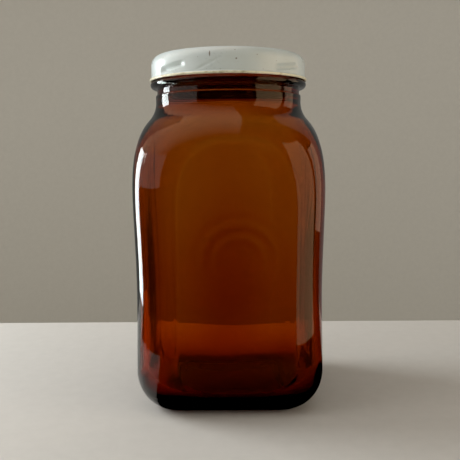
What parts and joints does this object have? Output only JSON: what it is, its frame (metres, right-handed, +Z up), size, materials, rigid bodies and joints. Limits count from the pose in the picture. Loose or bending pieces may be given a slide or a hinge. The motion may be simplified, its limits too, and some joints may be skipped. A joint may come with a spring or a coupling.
{
  "type": "wide-mouth reagent bottle",
  "caption": "Square amber glass wide-mouth bottle with rounded shoulders, a round neck and a pressed white tinplate lug cap with a loose wad that twists off.",
  "frame": {"origin": "centre of the bottle's base, on the plane that it stands on", "axes": "+Z up along the bottle's axis, -Y out of the front face, +X to its right"},
  "size_m": [0.0946, 0.0946, 0.1759],
  "materials": {
    "amber_glass": "clear moulded glass, fire-polished, slightly wavy",
    "enamelled_tinplate": "satin off-white enamel outside, gold lacquer inside and on the curl, lightly scuffed",
    "pulpboard": "matt grey-brown pulpboard",
    "wad_facing_film": "smooth off-white coated facing"
  },
  "bodies": {
    "bottle": {"bottle_glass": "amber_glass"},
    "wad": {"wad_board": "pulpboard", "wad_facing": "wad_facing_film"},
    "cap": {"cap_shell": "enamelled_tinplate"}
  },
  "joints": [
    {"name": "cap_rise", "type": "slide", "parent": "bottle", "child": "wad", "axis": [0, 0, 1], "range_m": [0, 0.03]},
    {"name": "cap_turn", "type": "hinge", "parent": "wad", "child": "cap", "pos_m": [0, 0, 0.17], "axis": [0, 0, 1], "range_deg": [0, 360]}
  ],
  "couplings": [
    {"joint": "cap_rise", "follows": "cap_turn", "m_per_rad": 0.004774}
  ]
}
